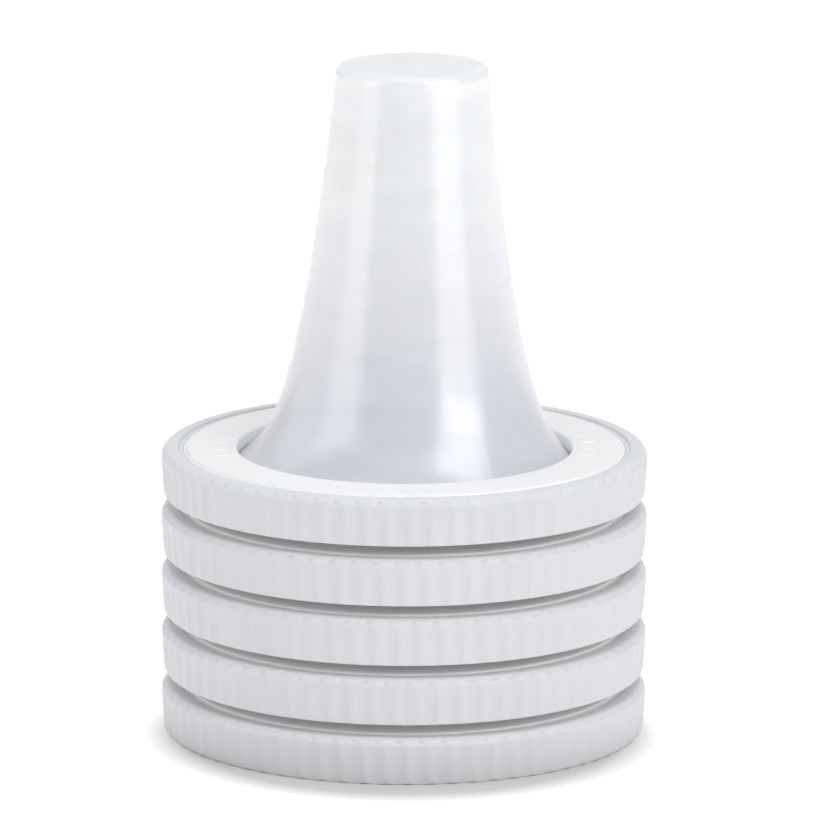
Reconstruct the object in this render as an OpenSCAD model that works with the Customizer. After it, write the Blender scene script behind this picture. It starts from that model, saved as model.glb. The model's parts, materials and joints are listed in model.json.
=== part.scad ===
// Stack of nested probe covers for an ear thermometer.
// Each cover has three pieces: a knurled grip ring, a closed cone of thin clear
// film whose flange lies in the ring's pocket, and a clamp ring pressed in over
// that flange. The covers nest cone in cone, so a ring only touches the film below.
// Origin: centre of the bottom ring's underside, +Z up along the cones.

/* [Stack] */
// Number of nested covers
covers = 5; // [2:1:8]
// Height that each further cover adds
pitch = 3.2; // [3.2:0.1:4.5]

/* [Grip ring] */
// Outer diameter of a ring
ring_d = 26; // [26:0.5:30]
// Height of a ring
ring_h = 2.5; // [2.3:0.1:2.8]
// How much narrower the wall's radius is at the bottom than at the top
wall_taper = 0.12; // [0.12:0.03:0.3]
// Radius of the rounded upper edge
edge_r = 0.5; // [0.3:0.05:0.6]
// Flutes round the wall
flutes = 70; // [48:2:80]
// Depth of a flute
flute_depth = 0.12; // [0.05:0.01:0.2]

/* [Seat under the ring] */
// Radius of the recess that sits on the thermometer's collar
seat_r = 11.2; // [10.5:0.1:11.4]
// Depth of that recess
seat_depth = 0.9; // [0.6:0.05:1]
// Thickness of the ledge that carries the film's flange
ledge_t = 0.6; // [0.4:0.05:0.7]

/* [Clamp ring] */
// Radius of the hole that the cone stands in
hole_r = 8.97; // [8.8:0.01:9.2]
// Outer radius of the clamp ring
clamp_r = 11.8; // [11.7:0.01:11.85]
// Width of the clamp ring's half of the annular groove
groove_in = 0.17; // [0.1:0.01:0.3]
// Width of the grip ring's half of the groove
groove_out = 0.25; // [0.1:0.01:0.3]
// Depth of the groove
groove_depth = 0.15; // [0.1:0.05:0.4]
// Raised ticks on each side of the clamp ring
ticks = 4; // [1:1:7]

/* [Film cone] */
// Thickness of the film
film_t = 0.1; // [0.05:0.01:0.12]
// Radius of the cone at its tip, before the rounding
tip_r = 4.12; // [3.8:0.02:4.4]
// Height of the cone's top above the ring
cone_h = 20.7; // [18:0.1:22]
// Radius of the rounded edge of the tip
tip_round = 0.55; // [0.3:0.05:0.8]

/* [Hidden] */
// Turn of each cover about the axis, bottom cover first.
turns = [104, 209, 158.5, 57, 1.5];

// Grip ring.
ring_r = ring_d / 2;
foot_r = ring_r - wall_taper;
foot_chamfer = flute_depth + 0.04;
wall_angle = atan(wall_taper / (ring_h - edge_r));
flute_r = 1.1;
// Length, width and depth of the gate mark.
notch = [0.35, 0.5, 0.15];

// Heights in a cover, counted from the underside of its ring.
ledge_top = seat_depth + ledge_t;
flange_top = ledge_top + film_t;
groove_z = ring_h - groove_depth;
cone_top = ring_h + cone_h;

// Fits between the pieces, and the radii that follow from them.
press_gap = 0.02;
rest_gap = 0.05;
hole_edge = 0.1;
pocket_r = clamp_r + press_gap;
groove_ri = clamp_r - groove_in;
groove_ro = pocket_r + groove_out;

// The cone's outside widens downward by a taper that grows evenly (cone_curve), and
// by a flare at the foot that dies out upward.
cone_taper = 0.0886;
cone_curve = 0.003;
flare = 1.14;
flare_h = 2.06;
film_steps = 28;
arc_steps = 6;
film_gap = 0.07;
flange_gap = 0.1;

// Raised ticks: angle between them, size, and radius that they stand at.
tick_step = 9;
tick_size = [0.9, 0.16, 0.05];
tick_r = 9.85;

// How far a raised or cut shape runs into the body that it joins.
sink = 0.1;

$fn = 64;

// Height where the straight side of the tip ends.
shoulder = cone_top - tip_round;

// Radius of the cone's outside at height z in its cover, and its slope there.
function flare_at(z) = flare * exp((ring_h - z) / flare_h);
function taper_at(z) = let (d = shoulder - z) cone_taper * d + cone_curve * d * d;
function cone_r(z) = min(tip_r + taper_at(z) + flare_at(z), hole_r - film_gap);
function cone_slope(z) = cone_taper + 2 * cone_curve * (shoulder - z) + flare_at(z) / flare_h;

// Points of an arc of radius r about c, from angle a0 to angle a1.
function arc(c, r, a0, a1) =
    [for (i = [0:arc_steps]) let (a = a0 + (a1 - a0) * i / arc_steps) c + r * [cos(a), sin(a)]];

// Inner edge of the ledge, where it rests on the flare of the cover below.
ledge_r = cone_r(pitch + seat_depth) + rest_gap;

module flute_cutters() {
    for (i = [0:flutes - 1])
        rotate(i * 360 / flutes)
            translate([foot_r - flute_depth + flute_r, 0, 0])
                rotate([0, wall_angle, 0])
                    cylinder(r = flute_r, h = 3 * ring_h, center = true);
}

// Small mark left by the moulding gate, on the rim beside the groove.
module gate_notch() {
    translate([-groove_ro - notch.x + sink, -notch.y / 2, ring_h - notch.z])
        cube(notch + [0, 0, sink]);
}

module grip_ring() {
    profile = concat(
        [[ledge_r, seat_depth], [seat_r, seat_depth], [seat_r, 0]],
        [[foot_r - foot_chamfer, 0], [foot_r, foot_chamfer]],
        arc([ring_r - edge_r, ring_h - edge_r], edge_r, 0, 90),
        [[groove_ro, ring_h], [groove_ro, groove_z], [pocket_r, groove_z]],
        [[pocket_r, ledge_top], [ledge_r, ledge_top]]
    );
    color([0.93, 0.94, 0.95])
        difference() {
            rotate_extrude() polygon(profile);
            flute_cutters();
            gate_notch();
        }
}

module clamp_ring() {
    profile = concat(
        [[hole_r, flange_top], [clamp_r, flange_top], [clamp_r, groove_z]],
        [[groove_ri, groove_z], [groove_ri, ring_h]],
        arc([hole_r + hole_edge, ring_h - hole_edge], hole_edge, 90, 180)
    );
    color([0.96, 0.96, 0.97]) {
        rotate_extrude() polygon(profile);
        for (side = [0, 180], i = [0:ticks - 1])
            rotate(side + (i - (ticks - 1) / 2) * tick_step)
                translate([tick_r, 0, ring_h + (tick_size.z - sink) / 2])
                    cube([tick_size.x, tick_size.y, tick_size.z + sink], center = true);
    }
}

// The film's outside runs up from the flange to the tip; the inside is the same
// line moved inward by the film's thickness.
module film_cone() {
    heights = [for (i = [0:film_steps]) flange_top + (shoulder - flange_top) * pow(i / film_steps, 1.5)];
    outside = [for (z = heights) [cone_r(z), z]];
    inside = [for (z = heights) let (s = cone_slope(z)) [cone_r(z), z] - film_t / sqrt(1 + s * s) * [1, s]];
    tip = [tip_r + flare_at(shoulder) - tip_round, shoulder];
    profile = concat(
        [[pocket_r - flange_gap, ledge_top], [pocket_r - flange_gap, flange_top]],
        outside,
        arc(tip, tip_round, 0, 90),
        [[0, cone_top], [0, cone_top - film_t]],
        arc(tip, tip_round - film_t, 90, 0),
        [for (i = [film_steps:-1:1]) inside[i]],
        [[cone_r(flange_top) - film_t, ledge_top]]
    );
    color([0.85, 0.88, 0.92, 0.6])
        rotate_extrude() polygon(profile);
}

module cover_at(k) {
    translate([0, 0, (k - 1) * pitch])
        rotate(turns[(k - 1) % len(turns)])
            children();
}

for (k = [1:covers]) {
    cover_at(k) grip_ring();
    cover_at(k) film_cone();
    cover_at(k) clamp_ring();
}
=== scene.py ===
"""Looks for a stack of nested ear-thermometer probe covers.

Every cover has a fluted grip ring, a clamp ring pressed into it, and a closed cone of
thin film held between the two. The CAD frame gives each piece's place and size. Here
each piece is turned again as a fine mesh, with rounded edges, flutes that run out upward,
pits above them, ticks and the small waves of formed film, and gets its material.
"""

import json
import math

import bmesh
import bpy
from mathutils import Matrix, Vector, noise


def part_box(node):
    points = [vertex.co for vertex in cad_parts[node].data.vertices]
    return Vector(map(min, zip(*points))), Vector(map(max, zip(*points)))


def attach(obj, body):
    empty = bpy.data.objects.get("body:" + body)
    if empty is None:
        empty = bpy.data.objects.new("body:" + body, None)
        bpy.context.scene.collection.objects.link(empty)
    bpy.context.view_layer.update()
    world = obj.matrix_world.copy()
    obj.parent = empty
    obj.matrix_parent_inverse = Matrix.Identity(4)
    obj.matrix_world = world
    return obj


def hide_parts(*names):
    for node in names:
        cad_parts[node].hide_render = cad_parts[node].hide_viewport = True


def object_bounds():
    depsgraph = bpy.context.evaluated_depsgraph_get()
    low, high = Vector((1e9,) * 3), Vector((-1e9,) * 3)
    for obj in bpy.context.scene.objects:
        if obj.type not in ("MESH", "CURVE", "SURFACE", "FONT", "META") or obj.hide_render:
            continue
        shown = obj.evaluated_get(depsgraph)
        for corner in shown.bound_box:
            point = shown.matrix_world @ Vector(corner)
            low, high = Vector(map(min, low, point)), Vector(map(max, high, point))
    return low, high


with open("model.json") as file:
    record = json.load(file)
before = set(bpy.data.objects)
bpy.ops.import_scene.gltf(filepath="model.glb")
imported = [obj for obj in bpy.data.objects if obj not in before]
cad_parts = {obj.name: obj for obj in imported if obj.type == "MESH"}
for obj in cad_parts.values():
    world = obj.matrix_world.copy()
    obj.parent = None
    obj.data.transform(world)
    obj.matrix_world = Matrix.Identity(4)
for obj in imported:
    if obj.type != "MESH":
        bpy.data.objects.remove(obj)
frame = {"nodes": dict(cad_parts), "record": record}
cad_low, cad_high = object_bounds()

# ---------------------------------------------------------------- sizes from the frame
MM = 0.001
TURN = 2 * math.pi
RECORD = frame["record"]
BODIES = sorted(RECORD["behaviour"]["bodies"])
MOUNTS = {m["name"]: m for m in RECORD["mounts"]}

first_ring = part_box("grip_ring_1")
first_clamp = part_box("clamp_ring_1")
first_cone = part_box("film_cone_1")
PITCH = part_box("grip_ring_2")[0].z - first_ring[0].z
RING_R = (cad_high.x - cad_low.x) / 2
RING_H = first_ring[1].z
CONE_TOP = first_cone[1].z
LEDGE_TOP = first_cone[0].z
FLANGE_TOP = first_clamp[0].z
FILM_T = FLANGE_TOP - LEDGE_TOP
FLANGE_R = (first_cone[1].x - first_cone[0].x) / 2
CLAMP_R = (first_clamp[1].x - first_clamp[0].x) / 2
TICK_TOP = first_clamp[1].z
SEAT_R = MOUNTS["collar_seat"]["dims"]["r_mm"] * MM
SEAT_DEPTH = MOUNTS["collar_seat"]["dims"]["length_mm"] * MM

# ---------------------------------------------------------------- sizes of the design
WALL_TAPER = 0.12 * MM
EDGE_R = 0.5 * MM
FOOT_ROUND = 0.16 * MM
FLUTES = 70
FLUTE_DEPTH = 0.12 * MM
FLUTE_HALF = 0.43
PIT_DEPTH = 0.12 * MM
PIT_WIDTH = 0.2 * MM
PIT_HEIGHT = 0.11 * MM
PIT_Z = 2.3 * MM
COLUMNS_PER_FLUTE = 16

HOLE_R = 8.97 * MM
HOLE_EDGE = 0.1 * MM
PRESS_GAP = 0.02 * MM
REST_GAP = 0.05 * MM
GROOVE_IN = 0.17 * MM
GROOVE_OUT = 0.25 * MM
GROOVE_DEPTH = 0.15 * MM
CORNER = 0.05 * MM

TICKS = 4
TICK_STEP = math.radians(9)
TICK_R = 9.85 * MM
TICK_LENGTH = 0.9 * MM
TICK_WIDTH = 0.16 * MM
TICK_SLOPE = 0.04 * MM

NOTCH_LENGTH = 0.35 * MM
NOTCH_WIDTH = 0.5 * MM
NOTCH_DEPTH = 0.15 * MM

TIP_R = 4.12 * MM
TIP_ROUND = 0.55 * MM
CONE_TAPER = 0.0886
CONE_CURVE = 0.003 / MM
FLARE = 1.14 * MM
FLARE_H = 2.06 * MM
FILM_GAP = 0.07 * MM

# The film stands a little to one side in its hole and leans that way.
FILM_SHIFT = 0.2 * MM
FILM_LEAN = 0.007

# Turn of each cover about the axis in degrees, bottom cover first, as in the CAD source.
TURNS = (104, 209, 158.5, 57, 1.5)

SHOULDER = CONE_TOP - TIP_ROUND
GROOVE_Z = RING_H - GROOVE_DEPTH
POCKET_R = CLAMP_R + PRESS_GAP
GROOVE_RI = CLAMP_R - GROOVE_IN
GROOVE_RO = POCKET_R + GROOVE_OUT
FOOT_R = RING_R - WALL_TAPER


def smooth(low, high, x):
    """0 below low, 1 above high, with a smooth step between them."""
    t = min(1.0, max(0.0, (x - low) / (high - low)))
    return t * t * (3 - 2 * t)


def flare_at(z):
    return FLARE * math.exp((RING_H - z) / FLARE_H)


def cone_r(z):
    """Radius of the cone's outside at height z in its cover."""
    depth = SHOULDER - z
    return min(TIP_R + CONE_TAPER * depth + CONE_CURVE * depth**2 + flare_at(z), HOLE_R - FILM_GAP)


def cone_slope(z):
    return CONE_TAPER + 2 * CONE_CURVE * (SHOULDER - z) + flare_at(z) / FLARE_H


LEDGE_R = cone_r(PITCH + SEAT_DEPTH) + REST_GAP


# ---------------------------------------------------------------- mesh tools
SHARP = 50


def arc(centre, radius, start, end, steps=5):
    """Points of an arc in the (r, z) plane, with angles in degrees."""
    points = []
    for i in range(steps + 1):
        a = math.radians(start + (end - start) * i / steps)
        points.append((centre[0] + radius * math.cos(a), centre[1] + radius * math.sin(a)))
    return points


def even(points, longest):
    """The same line with its long stretches divided, so that no step is over longest."""
    out = []
    for a, b in zip(points, points[1:] + points[:1]):
        steps = max(1, math.ceil(math.dist(a, b) / longest))
        for i in range(steps):
            t = i / steps
            out.append((a[0] + (b[0] - a[0]) * t, a[1] + (b[1] - a[1]) * t))
    return out


def upright(z):
    """No sideways shift at any height."""
    return 0.0


def turned(name, outline, angles, shape, lift, turn, aside=upright):
    """Turns a closed outline of (r, z) points about the axis.

    shape(r, z, a) gives the real r and z at angle a. A point with r = 0 becomes one pole.
    aside(z) shifts the whole turned shape along +X at height z.
    """
    mesh = bpy.data.meshes.new(name)
    bm = bmesh.new()
    rows = []
    for r, z in outline:
        if r <= 0:
            rows.append([bm.verts.new((aside(z), 0, z + lift))])
            continue
        row = []
        for a in angles:
            real_r, real_z = shape(r, z, a)
            spot = a + turn
            x = real_r * math.cos(spot) + aside(z)
            row.append(bm.verts.new((x, real_r * math.sin(spot), real_z + lift)))
        rows.append(row)
    columns = len(angles)
    for low, high in zip(rows, rows[1:] + rows[:1]):
        if len(low) == 1 and len(high) == 1:
            continue
        for i in range(columns):
            j = (i + 1) % columns
            if len(low) == 1:
                corners = (low[0], high[j], high[i])
            elif len(high) == 1:
                corners = (low[i], low[j], high[0])
            else:
                corners = (low[i], low[j], high[j], high[i])
            bm.faces.new(corners)
    bmesh.ops.recalc_face_normals(bm, faces=bm.faces)
    for face in bm.faces:
        face.smooth = True
    bm.to_mesh(mesh)
    bm.free()
    mesh.set_sharp_from_angle(angle=math.radians(SHARP))
    piece = bpy.data.objects.new(name, mesh)
    bpy.context.scene.collection.objects.link(piece)
    return piece


# ---------------------------------------------------------------- grip ring
FLUTE_STEP = TURN / FLUTES


def wall_angles():
    return [TURN * i / (FLUTES * COLUMNS_PER_FLUTE) for i in range(FLUTES * COLUMNS_PER_FLUTE)]


def flute(a):
    """How deep a flute is at angle a, from 0 on the crest to 1 along its middle."""
    phase = (a / FLUTE_STEP + 0.5) % 1 - 0.5
    hollow = max(0.0, 1 - (phase / FLUTE_HALF) ** 2)
    return hollow * smooth(0, 0.3, hollow)


def wall_limit(z):
    """The wall line that a flute's floor runs parallel to."""
    return FOOT_R + WALL_TAPER * z / (RING_H - EDGE_R)


def pit(z, a):
    """The small pit above the end of each flute: 1 at its middle, 0 away from it."""
    phase = (a / FLUTE_STEP + 0.5) % 1 - 0.5
    across = phase * FLUTE_STEP * RING_R / PIT_WIDTH
    up = (z - PIT_Z) / PIT_HEIGHT
    return math.exp(-across * across - up * up)


def grip_shape(r, z, a):
    """Cuts the flutes and their pits into the wall and the gate mark into the rim."""
    if r > GROOVE_RO + NOTCH_LENGTH:
        run_out = 1 - 0.5 * smooth(RING_H - 1.2 * MM, RING_H - 0.3 * MM, z)
        r = min(r, wall_limit(z) - FLUTE_DEPTH * run_out * flute(a))
        sunk = PIT_DEPTH * pit(z, a)
        r -= sunk
        z -= sunk * smooth(RING_H - EDGE_R, RING_H, z)
    across = abs((a - math.pi) * GROOVE_RO)
    if z > GROOVE_Z and across < NOTCH_WIDTH:
        inside = smooth(NOTCH_WIDTH / 2 + CORNER, NOTCH_WIDTH / 2 - CORNER, across)
        reach = smooth(GROOVE_RO + NOTCH_LENGTH, GROOVE_RO + NOTCH_LENGTH - 2 * CORNER, r)
        z -= NOTCH_DEPTH * inside * reach
    return r, z


def grip_outline():
    soft = GROOVE_DEPTH / 2
    lip = arc((GROOVE_RO + soft, RING_H - soft), soft, 90, 180, 4)
    fillet = arc((GROOVE_RO - soft, GROOVE_Z + soft), soft, 0, -90, 4)
    top = [
        (GROOVE_RO + NOTCH_LENGTH, RING_H),
        *lip,
        *fillet[1:],
        (POCKET_R, GROOVE_Z),
        (POCKET_R, LEDGE_TOP),
        (LEDGE_R, LEDGE_TOP),
        (LEDGE_R, SEAT_DEPTH),
        (SEAT_R, SEAT_DEPTH),
        (SEAT_R, 0),
        (FOOT_R - FOOT_ROUND, 0),
    ]
    foot = arc((FOOT_R - FOOT_ROUND, FOOT_ROUND), FOOT_ROUND, -90, 0, 3)
    edge = arc((RING_R - EDGE_R, RING_H - EDGE_R), EDGE_R, 0, 90, 12)
    return even(foot + edge + top, 0.4 * MM)


def make_grip_ring(k):
    lift = (k - 1) * PITCH
    piece = turned(f"grip_ring_skin_{k}", grip_outline(), wall_angles(), grip_shape, lift, turn_of(k))
    piece.data.materials.append(MATERIALS["ring_plastic"])
    return piece


# ---------------------------------------------------------------- clamp ring
def tick_angles():
    """Middle angles of the raised ticks, on both sides of the ring."""
    first = -(TICKS - 1) / 2 * TICK_STEP
    return [side + first + i * TICK_STEP for side in (0, math.pi) for i in range(TICKS)]


def clamp_angles():
    """Even angles, with extra ones at the edges of the ticks."""
    angles = {round(TURN * i / 360, 6) for i in range(360)}
    half = TICK_WIDTH / 2
    for middle in tick_angles():
        for offset in (-half - TICK_SLOPE, -half, 0, half, half + TICK_SLOPE):
            angles.add(round((middle + offset / TICK_R) % TURN, 6))
    return sorted(angles)


def clamp_shape(r, z, a):
    """Raises the ticks on the flat face."""
    if z < RING_H - CORNER / 2:
        return r, z
    half = TICK_WIDTH / 2
    for middle in tick_angles():
        across = abs((a - middle + math.pi) % TURN - math.pi) * r
        if across > half + TICK_SLOPE:
            continue
        along = abs(r - TICK_R) - TICK_LENGTH / 2
        rise = smooth(half + TICK_SLOPE, half, across) * smooth(TICK_SLOPE, 0, along)
        z += (TICK_TOP - RING_H) * rise
    return r, z


def clamp_outline():
    soft = GROOVE_DEPTH / 2
    half = TICK_LENGTH / 2
    face = [TICK_R + half + TICK_SLOPE, TICK_R + half, TICK_R, TICK_R - half, TICK_R - half - TICK_SLOPE]
    return even(
        [
            (HOLE_R, FLANGE_TOP + CORNER),
            (HOLE_R + CORNER, FLANGE_TOP),
            (CLAMP_R, FLANGE_TOP),
            (CLAMP_R, GROOVE_Z),
        ]
        + arc((GROOVE_RI + soft, GROOVE_Z + soft), soft, -90, -180, 4)
        + arc((GROOVE_RI - soft, RING_H - soft), soft, 0, 90, 4)[1:]
        + [(r, RING_H) for r in face]
        + arc((HOLE_R + HOLE_EDGE, RING_H - HOLE_EDGE), HOLE_EDGE, 90, 180, 5),
        0.4 * MM,
    )


def make_clamp_ring(k):
    lift = (k - 1) * PITCH
    piece = turned(f"clamp_ring_skin_{k}", clamp_outline(), clamp_angles(), clamp_shape, lift, turn_of(k))
    piece.data.materials.append(MATERIALS["clamp_plastic"])
    return piece


# ---------------------------------------------------------------- film cone
FILM_COLUMNS = 240
FILM_ROWS = 72


def film_outline():
    heights = [FLANGE_TOP + (SHOULDER - FLANGE_TOP) * (i / FILM_ROWS) ** 1.5 for i in range(FILM_ROWS + 1)]
    outside = [(cone_r(z), z) for z in heights]
    inside = []
    for z in heights:
        slope = cone_slope(z)
        inward = FILM_T / math.hypot(1, slope)
        inside.append((cone_r(z) - inward, z - inward * slope))
    tip = (cone_r(SHOULDER) - TIP_ROUND, SHOULDER)
    flange = [(cone_r(FLANGE_TOP) - FILM_T, LEDGE_TOP), (FLANGE_R, LEDGE_TOP), (FLANGE_R, FLANGE_TOP)]
    top = arc(tip, TIP_ROUND, 0, 90, 8)
    under = arc(tip, TIP_ROUND - FILM_T, 90, 0, 6)
    caps = [(tip[0] * (1 - i / 6), CONE_TOP) for i in range(1, 7)]
    caps += [(tip[0] * i / 6, CONE_TOP - FILM_T) for i in range(0, 6)]
    return flange + outside + top[1:] + caps + under + inside[-2:0:-1]


WAVE = 0.02 * MM
PLEAT = 0.012 * MM


def film_shape(seed):
    """Small waves and foot wrinkles that forming leaves in the film."""

    def shape(r, z, a):
        free = smooth(FLANGE_TOP + 0.2 * MM, FLANGE_TOP + 1.2 * MM, z) * smooth(0, TIP_R / 2, r)
        spot = Vector((math.cos(a) * 1.6, math.sin(a) * 1.6, z / (7 * MM) + seed * 9.1))
        fine = Vector((math.cos(a) * 14, math.sin(a) * 14, z / (4 * MM) + seed * 4.7))
        foot = smooth(RING_H + 4 * MM, RING_H - 0.5 * MM, z)
        r -= free * WAVE * (0.5 + 0.5 * noise.noise(spot))
        r -= free * foot * PLEAT * (1 + noise.noise(fine))
        return r, z

    return shape


def film_aside(start):
    """Sideways shift of a film that stays centred below the height start."""
    return lambda z: (FILM_SHIFT + FILM_LEAN * (z - RING_H)) * smooth(start, start + 1.2 * MM, z)


def make_film_cone(k):
    """The top film may shift from its flange up, the others only above the ring they carry."""
    angles = [TURN * i / FILM_COLUMNS for i in range(FILM_COLUMNS)]
    start = FLANGE_TOP + 0.1 * MM if k == len(BODIES) else PITCH + LEDGE_TOP
    aside = film_aside(start)
    lift = (k - 1) * PITCH
    piece = turned(f"film_cone_skin_{k}", film_outline(), angles, film_shape(k), lift, turn_of(k), aside)
    piece.data.materials.append(MATERIALS["film"])
    return piece


def turn_of(k):
    return math.radians(TURNS[(k - 1) % len(TURNS)])


# ---------------------------------------------------------------- materials
class Nodes:
    """Adds and links shader nodes in one material."""

    def __init__(self, name):
        self.material = bpy.data.materials.new(name)
        self.material.use_nodes = True
        self.tree = self.material.node_tree
        self.shader = self.tree.nodes["Principled BSDF"]

    def add(self, kind, **values):
        node = self.tree.nodes.new(kind)
        for key, value in values.items():
            if key in node.inputs:
                node.inputs[key].default_value = value
            else:
                setattr(node, key, value)
        return node

    def link(self, source, target):
        self.tree.links.new(source, target)

    def place(self):
        return self.add("ShaderNodeTexCoord").outputs["Object"]

    def height(self):
        """Height in the piece, from 0 at its foot to 1 at its top."""
        split = self.add("ShaderNodeSeparateXYZ")
        self.link(self.add("ShaderNodeTexCoord").outputs["Generated"], split.inputs["Vector"])
        return split.outputs["Z"]

    def facing(self):
        """Which way the surface faces: 0 straight down, 0.5 sideways, 1 straight up."""
        split = self.add("ShaderNodeSeparateXYZ")
        self.link(self.add("ShaderNodeTexCoord").outputs["Normal"], split.inputs["Vector"])
        node = self.add("ShaderNodeMapRange")
        node.inputs["From Min"].default_value = -1
        self.link(split.outputs["Z"], node.inputs["Value"])
        return node.outputs["Result"]

    def times(self, first, second):
        """Two colours multiplied."""
        node = self.add("ShaderNodeVectorMath", operation="MULTIPLY")
        self.link(first, node.inputs[0])
        self.link(second, node.inputs[1])
        return node.outputs["Vector"]

    def noise(self, size, detail=2.0, roughness=0.5):
        """Noise whose features are about size metres across."""
        node = self.add("ShaderNodeTexNoise", Scale=1 / size, Detail=detail, Roughness=roughness)
        self.link(self.place(), node.inputs["Vector"])
        return node.outputs["Fac"]

    def streaks(self, size, flatness):
        """Noise about size metres across, and that many times lower than wide."""
        flat = self.add("ShaderNodeVectorMath", operation="MULTIPLY")
        flat.inputs[1].default_value = (1, 1, flatness)
        self.link(self.place(), flat.inputs[0])
        node = self.add("ShaderNodeTexNoise", Scale=1 / size, Detail=3.0)
        self.link(flat.outputs["Vector"], node.inputs["Vector"])
        return node.outputs["Fac"]

    def ramp(self, source, low, high, start, end):
        """Colour or grey that goes from low to high as source goes from start to end."""
        node = self.add("ShaderNodeValToRGB")
        node.color_ramp.elements[0].position = start
        node.color_ramp.elements[1].position = end
        node.color_ramp.elements[0].color = (*low, 1)
        node.color_ramp.elements[1].color = (*high, 1)
        self.link(source, node.inputs["Fac"])
        return node.outputs["Color"]

    def remap(self, source, low, high):
        node = self.add("ShaderNodeMapRange")
        node.inputs["To Min"].default_value = low
        node.inputs["To Max"].default_value = high
        self.link(source, node.inputs["Value"])
        return node.outputs["Result"]

    def bump(self, height, depth, before=None):
        """Bump of that depth in metres, on top of the bump before it."""
        node = self.add("ShaderNodeBump", Strength=1.0, Distance=depth)
        self.link(height, node.inputs["Height"])
        if before:
            self.link(before, node.inputs["Normal"])
        return node.outputs["Normal"]


PLASTIC_GLOW = 0.05


def moulded_plastic(name, under, wall, face, roughness, grain):
    """White polypropylene with a fine grain, and painted light and shade set by which way a surface faces.

    Undersides get the painted light under, almost white, which brightens the gaps between rings; walls get
    the painted shade wall, and upward faces the colour face. Its faint light of its own stands in for the
    light that passes through it.
    """
    nodes = Nodes(name)
    shader = nodes.shader.inputs
    facing = nodes.facing()
    cloud = nodes.ramp(nodes.noise(4 * MM, 3), (0.97, 0.97, 0.97), (1, 1, 1), 0.35, 0.65)
    # Painted light on undersides and painted shade on walls, by which way the surface faces.
    painted_under_light_and_wall_shade = nodes.ramp(facing, under, wall, 0.01, 0.08)
    # Painted shade on upward faces: they take the colour face, darker on the clamp.
    painted_face_shade = nodes.ramp(facing, (1, 1, 1), face, 0.6, 0.9)
    nodes.link(nodes.times(nodes.times(painted_under_light_and_wall_shade, painted_face_shade), cloud), shader["Base Color"])
    nodes.link(nodes.remap(nodes.noise(0.8 * MM, 3), roughness - 0.06, roughness + 0.06), shader["Roughness"])
    soft = nodes.bump(nodes.noise(1.3 * MM, 2), 0.012 * MM)
    nodes.link(nodes.bump(nodes.noise(0.16 * MM, 2), grain, soft), shader["Normal"])
    shader["Emission Color"].default_value = (1, 1, 1, 1)
    shader["Emission Strength"].default_value = PLASTIC_GLOW
    shader["IOR"].default_value = 1.49
    return nodes.material


def formed_film():
    """Thin glossy milky film, mottled, with painted shade that darkens it towards its foot and painted light
    that makes the tip's top paler than the sides.
    """
    nodes = Nodes("film")
    shader = nodes.shader.inputs
    cloud = nodes.noise(1.5 * MM, 4, 0.6)
    mottle = nodes.ramp(cloud, (0.96, 0.975, 0.995), (0.98, 0.99, 1.0), 0.3, 0.7)
    # Painted shade: the film is darker towards its foot, down in the ring.
    depth = nodes.ramp(nodes.height(), (0.81, 0.81, 0.87), (1, 1, 1), 0.18, 0.68)
    # Painted light: the tip's top is paler than the sides below it.
    side = nodes.ramp(nodes.height(), (0.95, 0.953, 0.958), (1, 1, 1), 0.94, 0.975)
    streaks = nodes.ramp(nodes.streaks(5 * MM, 4), (0.955, 0.955, 0.955), (1, 1, 1), 0.35, 0.6)
    nodes.link(nodes.times(nodes.times(mottle, depth), nodes.times(side, streaks)), shader["Base Color"])
    nodes.link(nodes.remap(nodes.noise(0.6 * MM, 3), 0.18, 0.26), shader["Roughness"])
    shader["IOR"].default_value = 1.95
    shader["Specular IOR Level"].default_value = 1.0
    shader["Alpha"].default_value = 0.7
    nodes.link(nodes.remap(nodes.height(), 0.8, 0.0), shader["Sheen Weight"])
    shader["Sheen Roughness"].default_value = 0.6
    broad = nodes.bump(nodes.noise(2.2 * MM, 2), 0.02 * MM)
    nodes.link(nodes.bump(nodes.noise(0.35 * MM, 3), 0.003 * MM, broad), shader["Normal"])
    return nodes.material


def studio_paper():
    """White paper that glows faintly, with a painted contact shadow close round the foot of the stack, where
    the paper is painted darker and glows less.
    """
    nodes = Nodes("studio_paper")
    shader = nodes.shader.inputs
    # Painted contact shadow: distance from a point a little in front of the axis.
    reach = nodes.add("ShaderNodeVectorMath", operation="DISTANCE")
    reach.inputs[1].default_value = (0, -3.2 * MM, 0)
    nodes.link(nodes.place(), reach.inputs[0])
    contact_shadow_span = nodes.add("ShaderNodeMapRange")
    contact_shadow_span.inputs["From Min"].default_value = RING_R - 1.6 * MM
    contact_shadow_span.inputs["From Max"].default_value = RING_R + 1.4 * MM
    nodes.link(reach.outputs["Value"], contact_shadow_span.inputs["Value"])
    # Painted contact shadow: the paper is darker close round the foot.
    painted_contact_shadow = nodes.ramp(contact_shadow_span.outputs["Result"], (0.68, 0.665, 0.65), (1, 1, 1), 0.0, 1.0)
    paper = nodes.ramp(nodes.noise(60 * MM, 2), (0.785, 0.78, 0.775), (0.805, 0.80, 0.795), 0.3, 0.7)
    nodes.link(nodes.times(paper, painted_contact_shadow), shader["Base Color"])
    # The glow also fades out inside the painted contact shadow.
    nodes.link(nodes.remap(contact_shadow_span.outputs["Result"], 0.0, 0.35), shader["Emission Strength"])
    shader["Roughness"].default_value = 0.9
    shader["Specular IOR Level"].default_value = 0.1
    shader["Emission Color"].default_value = (1, 1, 1, 1)
    return nodes.material


MATERIALS = {
    # Painted light and shade: almost white undersides, a darker ring wall and a darker clamp face.
    "ring_plastic": moulded_plastic(
        "ring_plastic", (0.98, 0.96, 0.95), (0.57, 0.58, 0.60), (1, 1, 1), 0.5, 0.0016 * MM
    ),
    "clamp_plastic": moulded_plastic(
        "clamp_plastic", (0.98, 0.96, 0.95), (0.94, 0.945, 0.955), (0.755, 0.755, 0.755), 0.45, 0.0012 * MM
    ),
    "film": formed_film(),
}


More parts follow.
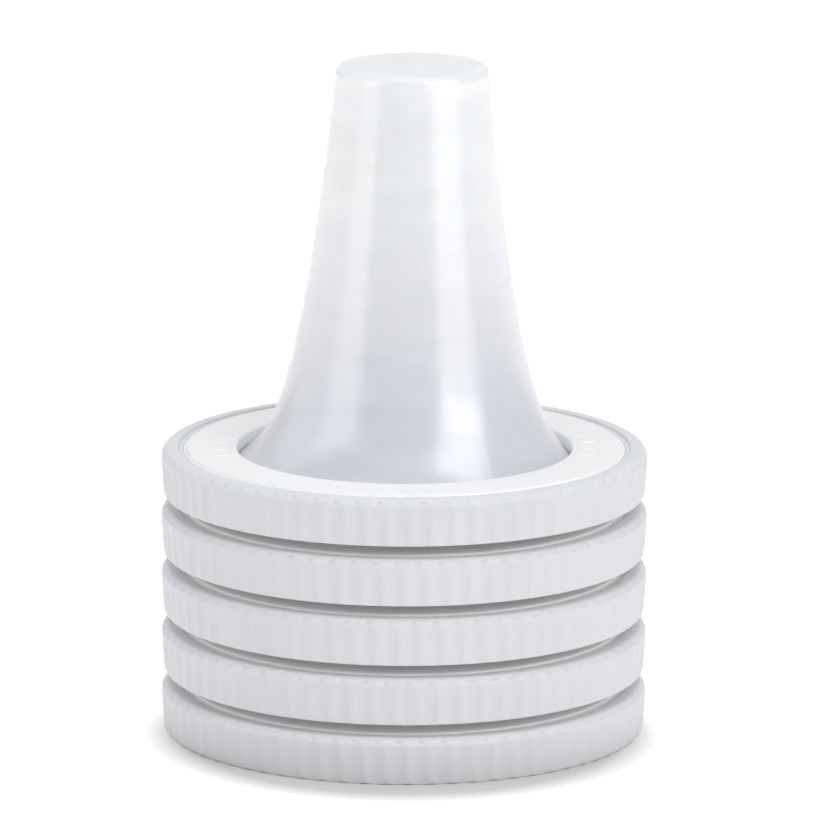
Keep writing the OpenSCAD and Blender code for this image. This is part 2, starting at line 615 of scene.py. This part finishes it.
# ---------------------------------------------------------------- studio
def make_camera():
    """The photograph's view: a long lens a little above the stack, looking along +Y."""
    distance = 440 * MM
    elevation = math.radians(12.63)
    roll = math.radians(0.2)
    target = Vector((0, 0, 16.7 * MM))
    data = bpy.data.cameras.new("camera")
    data.sensor_width = 36
    data.lens = 353.1
    data.shift_x = 0.0184
    data.clip_start = 0.01
    data.clip_end = 20
    camera = bpy.data.objects.new("camera", data)
    back = Vector((0, -math.cos(elevation), math.sin(elevation)))
    facing = (-back).to_track_quat("-Z", "Y").to_matrix().to_4x4()
    place = Matrix.Translation(target + back * distance)
    camera.matrix_world = place @ facing @ Matrix.Rotation(roll, 4, "Z")
    bpy.context.scene.collection.objects.link(camera)
    bpy.context.scene.camera = camera


def make_floor():
    half = 2.5
    mesh = bpy.data.meshes.new("floor")
    bm = bmesh.new()
    corners = ((-half, -half), (half, -half), (half, half), (-half, half))
    bm.faces.new([bm.verts.new((x, y, 0)) for x, y in corners])
    bm.to_mesh(mesh)
    bm.free()
    mesh.materials.append(studio_paper())
    floor = bpy.data.objects.new("floor", mesh)
    bpy.context.scene.collection.objects.link(floor)


def soft_box(name, side, height, distance, size, radiance, shine=True):
    """A panel at an angle to the right of the camera, facing the stack.

    Without shine it lights the stack but leaves no highlight on it.
    """
    data = bpy.data.lights.new(name, "AREA")
    data.shape = "RECTANGLE"
    data.size, data.size_y = size
    data.energy = radiance * math.pi * size[0] * size[1]
    light = bpy.data.objects.new(name, data)
    side = math.radians(side)
    light.location = (distance * math.sin(side), -distance * math.cos(side), height)
    aim = Vector((0, 0, 15 * MM)) - light.location
    light.rotation_mode = "QUATERNION"
    light.rotation_quaternion = aim.to_track_quat("-Z", "Y")
    light.visible_camera = False
    light.visible_glossy = shine
    bpy.context.scene.collection.objects.link(light)


def make_lights():
    soft_box("key", 50, 0.2, 1.0, (0.74, 0.4), 1.0)
    soft_box("high_key", 49, 0.7, 1.0, (0.8, 0.86), 2.0)
    soft_box("back", 180, 0.3, 1.0, (1.2, 0.6), 0.3)
    soft_box("left", -105, 0.3, 1.0, (0.9, 0.9), 0.5)
    soft_box("fill", -65, 0.3, 1.0, (0.6, 0.6), 1.0)
    soft_box("top", -6, 1.25, 0.14, (0.9, 0.9), 4.1, shine=False)
    world = bpy.data.worlds.new("studio")
    world.use_nodes = True
    world.node_tree.nodes["Background"].inputs["Color"].default_value = (0.96, 0.98, 1.0, 1)
    world.node_tree.nodes["Background"].inputs["Strength"].default_value = 0.42
    bpy.context.scene.world = world
    bpy.context.scene.view_settings.view_transform = "Standard"


make_camera()
make_floor()
make_lights()

MAKERS = {"grip_ring": make_grip_ring, "film_cone": make_film_cone, "clamp_ring": make_clamp_ring}
SLOTS = {"grip_ring": "ring_plastic", "film_cone": "film", "clamp_ring": "clamp_plastic"}

for number, body in enumerate(BODIES, start=1):
    for part, make in MAKERS.items():
        node = f"{part}_{number}"
        frame["nodes"][node].data.materials.clear()
        frame["nodes"][node].data.materials.append(MATERIALS[SLOTS[part]])
        skin = make(number)
        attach(skin, body)
        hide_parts(node)
